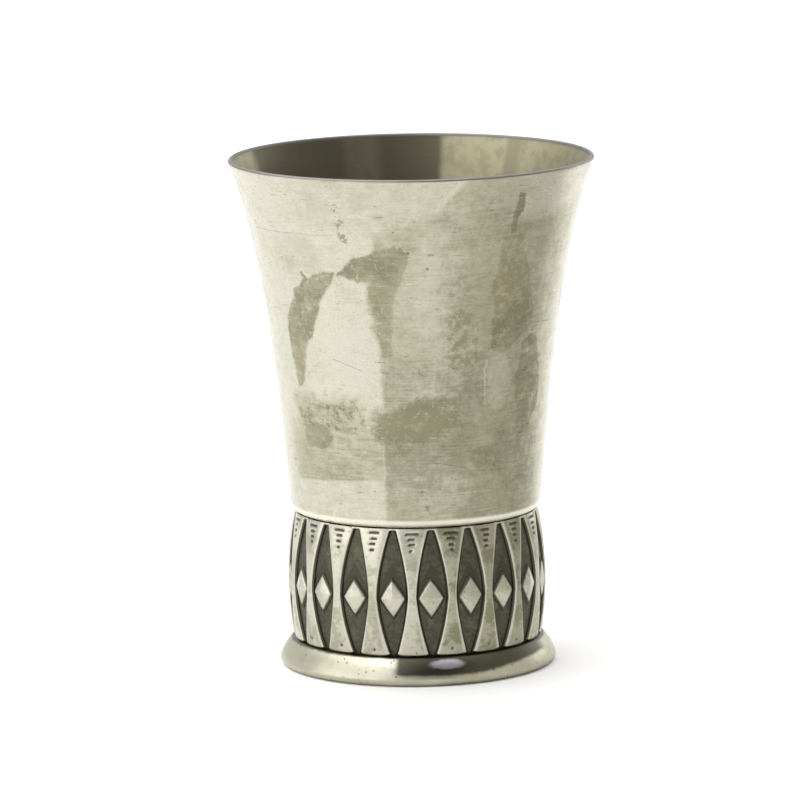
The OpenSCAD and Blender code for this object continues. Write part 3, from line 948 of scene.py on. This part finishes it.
class Strut:
    """One strut of the frieze, with its own small faults"""

    def __init__(self, sizes, number, count, chance):
        self.sizes = sizes
        self.pitch = math.tau / count
        first = -math.pi / 2 + sizes.turn
        self.angle = first + (number + 0.5) * self.pitch + math.radians(chance.uniform(-0.3, 0.3))
        self.widest = lozenge_width(sizes, count)
        self.dashes = [(index * sizes.dash_pitch + chance.uniform(-0.08, 0.08) * MM,
                        chance.uniform(-0.16, 0.16) * MM,
                        width * chance.uniform(0.75, 1.15) * MM / 2)
                       for index, width in enumerate((2.3, 1.35, 1.15, 0.7))]
        self.force = chance.choice((0.55, 0.8, 1.0, 1.0))
        self.punch = chance.uniform(-0.5, 0.5) * MM
        self.punch_depth = chance.choice((0.0, 0.14, 0.2, 0.24)) * MM
        self.punch_z = FOOT_TOP + chance.uniform(1.2, 1.7) * MM
        self.drift = chance.uniform(0, 50)

    def lozenge_half(self, z):
        sizes = self.sizes
        middle = FOOT_TOP + sizes.middle
        up = z > middle
        reach = SEAT - sizes.rail - middle if up else sizes.middle
        end = sizes.top_gap if up else sizes.bottom_gap
        fullness = sizes.upper_fullness if up else sizes.lower_fullness
        u = min(1.0, abs(z - middle) / reach)
        return end / 2 + (self.widest - end) / 2 * (1 - u ** fullness)

    def half(self, z):
        """Half the width of the strut's face at a height"""
        return self.pitch * frieze_radius(self.sizes, z) / 2 - self.lozenge_half(z)

    def slope(self, z):
        """Width of the sloped wall: less where a stud stands close"""
        sizes = self.sizes
        off = abs(z - FOOT_TOP - sizes.middle + sizes.stud_drop) / (sizes.stud_height / 2)
        stud = (self.widest / 2 - sizes.stud_gap) * max(0.0, 1 - off)
        return min(sizes.slope, self.lozenge_half(z) * 0.8, self.lozenge_half(z) - stud - 0.03 * MM)

    def cut(self, side, z):
        """Depth of the chasing at a place on the face"""
        depth = 0.0
        for down, shift, half in self.dashes:
            level = SEAT - self.sizes.rail - 0.45 * MM - down
            off = abs(side - shift) - half
            across = min(1.0, max(0.0, 0.5 - off / (0.3 * MM)))
            along = math.exp(-((z - level) / (0.25 * MM)) ** 2)
            depth = max(depth, self.sizes.dash_depth * self.force * across * along)
        near = ((side - self.punch) / (0.26 * MM)) ** 2 + ((z - self.punch_z) / (0.34 * MM)) ** 2
        return max(depth, self.punch_depth * math.exp(-near))

    def height(self, share_across, side, z):
        """Height of the face over the ground"""
        sizes = self.sizes
        bevel = max(0.0, abs(share_across) - sizes.bevel_from) / (1 - sizes.bevel_from)
        crown = sizes.relief * (1 - 0.03 * share_across ** 2 - 0.17 * bevel ** 1.5)
        ripple = noise.noise(Vector((side / MM * 0.5, z / MM * 0.35, self.drift))) * 0.03 * MM
        lower = min(1.0, max(0.0, (z - FOOT_TOP) / (0.5 * MM)))
        rounded = 0.30 * MM * (1 - lower) ** 2
        return crown + ripple - self.cut(side, z) - rounded


class CHALICE_OT_frieze(bpy.types.Operator):
    """Chase the frieze: struts with rounded edges, joined by a rail at the top"""
    bl_idname = "chalice.frieze"
    bl_label = "Lozenge Frieze"

    face_columns = 16
    window_columns = 3
    wall = ((0.12, 0.85), (0.5, 0.38), (1.0, 0.0))  # share of the slope, share of the relief
    lifted_rows = 6

    def execute(self, context):
        cup = context.scene.chalice
        self.sizes = cup.frieze
        chance = random.Random(20)
        count = len(STUD_NODES)
        self.struts = [Strut(self.sizes, number, count, chance) for number in range(count)]
        self.window_top = SEAT - self.sizes.rail
        below = self.rows_below()
        self.window_row = len(below) - 1
        rows = below + climb(self.window_top, SEAT, 4)[1:]
        self.points, self.faces = [], []
        grid = [self.ring(row, z) for row, z in enumerate(rows)]
        for low, high in zip(grid, grid[1:]):
            for side in ("front", "back"):
                self.skin(low[side], high[side])
        self.cap(grid[0])
        self.cap(grid[-1])
        made = piece("frieze_struts", self.points, self.faces,
                     (rubbed_struts(cup.silver, self.sizes),))
        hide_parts("lozenge_frieze")
        return {"FINISHED"}

    def rows_below(self):
        """Heights up to the windows' top, closer together where the chasing is"""
        punched = FOOT_TOP + 2.4 * MM
        chased = self.window_top - 4.6 * MM
        return (climb(FOOT_TOP, punched, 15)[:-1] + climb(punched, chased, 32)[:-1]
                + climb(chased, self.window_top, 40))

    def stops(self, strut, level):
        """Places across a strut, as (distance from its middle, share of the relief)"""
        half, slope = strut.half(level), strut.slope(level)
        right = [(half + slope * out, rise) for out, rise in self.wall]
        left = [(-side, rise) for side, rise in reversed(right)]
        return left + [(side, 1.0) for side in climb(-half, half, self.face_columns)] + right

    def ring(self, row, z):
        """One row of points round the frieze, front and back"""
        sizes = self.sizes
        level = min(z, self.window_top)
        over = min(1.0, max(0, row - self.window_row) * 0.75)
        face_r = frieze_radius(sizes, z)
        ground_r = frieze_radius(sizes, z, -sizes.relief)
        front, back = [], []
        for strut, ahead in zip(self.struts, self.struts[1:] + self.struts[:1]):
            stops = self.stops(strut, level)
            half = strut.half(level)
            for column, (side, rise) in enumerate(stops):
                across = max(-1.0, min(1.0, side / half))
                raised = strut.height(across, side, z) * (rise + (1 - rise) * over)
                lift = sizes.arch * across ** 4 * max(0.0, 1 - row / self.lifted_rows)
                angle = strut.angle + side / face_r
                front.append(self.add(angle, ground_r + raised, z + lift))
                foot = column in (0, len(stops) - 1) and row <= self.window_row
                back.append(front[-1] if foot else self.add(angle, ground_r, z + lift))
            left = strut.angle + stops[-1][0] / face_r
            right = ahead.angle + self.stops(ahead, level)[0][0] / face_r
            gap = (right - left) % math.tau
            for column in range(1, self.window_columns + 1):
                if row < self.window_row:
                    front.append(None)
                    back.append(None)
                    continue
                angle = left + gap * column / (self.window_columns + 1)
                front.append(self.add(angle, ground_r + sizes.relief * 0.88 * over, z))
                edge = row == self.window_row
                back.append(front[-1] if edge else self.add(angle, ground_r, z))
        return {"front": front, "back": back}

    def add(self, angle, radius, z):
        self.points.append((radius * math.cos(angle), radius * math.sin(angle), z))
        return len(self.points) - 1

    def skin(self, low, high):
        """Quads between two rows, where both have points"""
        for column in range(len(low)):
            ahead = (column + 1) % len(low)
            corners = (low[column], low[ahead], high[ahead], high[column])
            if None not in corners:
                self.faces.append(corners)

    def cap(self, ring):
        """Closes the frieze between the front and the back of its first or last row"""
        front, back = ring["front"], ring["back"]
        for column in range(len(front)):
            ahead = (column + 1) % len(front)
            corners = (front[column], front[ahead], back[ahead], back[column])
            if None not in corners:
                self.faces.append(tuple(dict.fromkeys(corners)))


class CHALICE_OT_studs(bpy.types.Operator):
    """Set a low pyramid in each lozenge, each a little different"""
    bl_idname = "chalice.studs"
    bl_label = "Diamond Studs"

    around = 48
    fullness = 1.07  # 1 gives straight sides and sharp corners

    def execute(self, context):
        cup = context.scene.chalice
        sizes = cup.frieze
        finish = rubbed_studs(cup.silver, sizes)
        pitch = math.tau / len(STUD_NODES)
        for number, node in enumerate(STUD_NODES):
            chance = random.Random(100 + number)
            angle = -math.pi / 2 + sizes.turn + number * pitch
            points, faces = self.stud(sizes, angle + math.radians(chance.uniform(-0.5, 0.5)), chance)
            made = piece("stud_" + node[-2:], points, faces, (finish,))
            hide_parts(node)
        return {"FINISHED"}

    def profile(self, sizes, half_w, chance):
        """The stud from the middle of its back to its point, as (share of its width, height)"""
        face = 1 - sizes.stud_flank / half_w
        seat = -0.6 * sizes.film
        shoulder = sizes.stud_shoulder
        rise = sizes.stud_rise * chance.uniform(0.92, 1.06)
        profile = [(0.35, seat), (0.7, seat), (0.985, seat), (1.0, seat + 0.03 * MM)]
        profile += [(face + (1 - face) * t, shoulder * (1 - t)) for t in (0.75, 0.5, 0.25, 0.08)]
        profile += [(face * t, rise + (shoulder - rise) * t)
                    for t in (0.98, 0.90, 0.75, 0.6, 0.45, 0.3, 0.15, 0.05)]
        return profile, seat, rise - 0.02 * MM

    def stud(self, sizes, angle, chance):
        base_w = lozenge_width(sizes, len(STUD_NODES)) - 2 * sizes.stud_gap
        half_w = base_w / 2 * chance.uniform(0.94, 1.0)
        half_h = sizes.stud_height / 2 * chance.uniform(0.94, 1.02)
        middle = FOOT_TOP + sizes.middle - sizes.stud_drop + chance.uniform(-0.15, 0.15) * MM
        lean = math.radians(chance.uniform(-2.0, 2.0))
        shift = (chance.uniform(-0.18, 0.18) * MM, chance.uniform(-0.25, 0.25) * MM)
        profile, seat, top = self.profile(sizes, half_w, chance)
        ground = frieze_radius(sizes, middle, -sizes.relief)
        points, faces = [], []

        def add(side, up, height):
            z = middle + up
            turn = angle + side / ground
            radius = frieze_radius(sizes, z, -sizes.relief) + height
            points.append((radius * math.cos(turn), radius * math.sin(turn), z))
            return len(points) - 1

        rings = [[add(0.0, 0.0, seat)]]
        for share_out, height in profile:
            offset = 1 - share_out if height > sizes.stud_shoulder else 0.0
            ring = []
            for step in range(self.around):
                t = math.tau * step / self.around
                cos, sin = math.cos(t), math.sin(t)
                side = math.copysign(abs(cos) ** (2 / self.fullness), cos) * half_w * share_out
                up = math.copysign(abs(sin) ** (2 / self.fullness), sin) * half_h * share_out
                side, up = side + shift[0] * offset, up + shift[1] * offset
                ring.append(add(side * math.cos(lean) - up * math.sin(lean),
                                side * math.sin(lean) + up * math.cos(lean), height))
            rings.append(ring)
        rings.append([add(shift[0], shift[1], top)])
        for low, high in zip(rings, rings[1:]):
            for step in range(self.around):
                ahead = (step + 1) % self.around
                corners = (low[step % len(low)], low[ahead % len(low)],
                           high[ahead % len(high)], high[step % len(high)])
                faces.append(tuple(dict.fromkeys(corners)))
        return points, faces


class CHALICE_OT_foot_ring(bpy.types.Operator):
    """Turn the splayed foot ring"""
    bl_idname = "chalice.foot_ring"
    bl_label = "Foot Ring"

    def execute(self, context):
        cup = context.scene.chalice
        sizes = cup.foot
        top_r = frieze_radius(cup.frieze, FOOT_TOP) + sizes.ledge
        splay = FOOT_R - top_r
        contact_r = FOOT_R - sizes.edge
        bore = contact_r - sizes.contact
        collar_in = sizes.collar - sizes.collar_wall
        outline = [(bore, 0.0)]
        outline += arc((contact_r, sizes.edge), sizes.edge, -90, -12, 12)
        outline += [(top_r + splay * s + 4 * sizes.crown * s * (1 - s),
                     FOOT_TOP + (sizes.edge - FOOT_TOP) * s) for s in climb(1.0, 0.04, 18)]
        outline += [(top_r - 0.06 * MM, FOOT_TOP), (sizes.collar, FOOT_TOP),
                    (sizes.collar, FOOT_TOP + sizes.collar_height),
                    (collar_in, FOOT_TOP + sizes.collar_height),
                    (collar_in, sizes.rebate), (bore, sizes.rebate)]
        waver = hand_waver(sizes.waver, -2 * MM, -1 * MM, 2)
        points, faces = lathe(outline, STEPS_ROUND, waver)
        made = piece("foot_turned", points, faces, (foot_with_painted_reflections(cup.silver, "foot_with_painted_reflections"),))
        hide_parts("foot_ring")
        return {"FINISHED"}


class CHALICE_OT_base_plate(bpy.types.Operator):
    """Finish the base plate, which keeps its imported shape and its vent"""
    bl_idname = "chalice.base_plate"
    bl_label = "Base Plate"

    def execute(self, context):
        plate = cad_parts["base_plate"]
        plate.data.materials.clear()
        plate.data.materials.append(foot_with_painted_reflections(context.scene.chalice.silver, "worn_plate"))
        return {"FINISHED"}


class CHALICE_PT_pieces(bpy.types.Panel):
    """Lists the cup's pieces and its sizes"""
    bl_idname = "CHALICE_PT_pieces"
    bl_label = "Communion Cup"
    bl_space_type = "VIEW_3D"
    bl_region_type = "UI"
    bl_category = "Communion Cup"

    def draw(self, context):
        for operator in OPERATORS:
            self.layout.operator(operator.bl_idname)
        cup = context.scene.chalice
        for title in ("bowl", "frieze", "foot", "silver", "stage"):
            box = self.layout.box()
            box.label(text=title.capitalize())
            group = getattr(cup, title)
            for name in group.__annotations__:
                box.prop(group, name)


OPERATORS = (CHALICE_OT_stage, CHALICE_OT_bowl, CHALICE_OT_drum, CHALICE_OT_frieze,
             CHALICE_OT_studs, CHALICE_OT_foot_ring, CHALICE_OT_base_plate)
CLASSES = (BowlSizes, FriezeSizes, FootSizes, SilverLook, StageLook, CupSettings,
           *OPERATORS, CHALICE_PT_pieces)


def register():
    for cls in CLASSES:
        bpy.utils.register_class(cls)
    bpy.types.Scene.chalice = PointerProperty(type=CupSettings)


def unregister():
    del bpy.types.Scene.chalice
    for cls in reversed(CLASSES):
        bpy.utils.unregister_class(cls)


def main():
    """Builds the cup piece by piece"""
    register()
    bpy.ops.chalice.stage()
    bpy.ops.chalice.bowl()
    bpy.ops.chalice.drum()
    bpy.ops.chalice.frieze()
    bpy.ops.chalice.studs()
    bpy.ops.chalice.foot_ring()
    bpy.ops.chalice.base_plate()


if __name__ == "__main__":
    main()
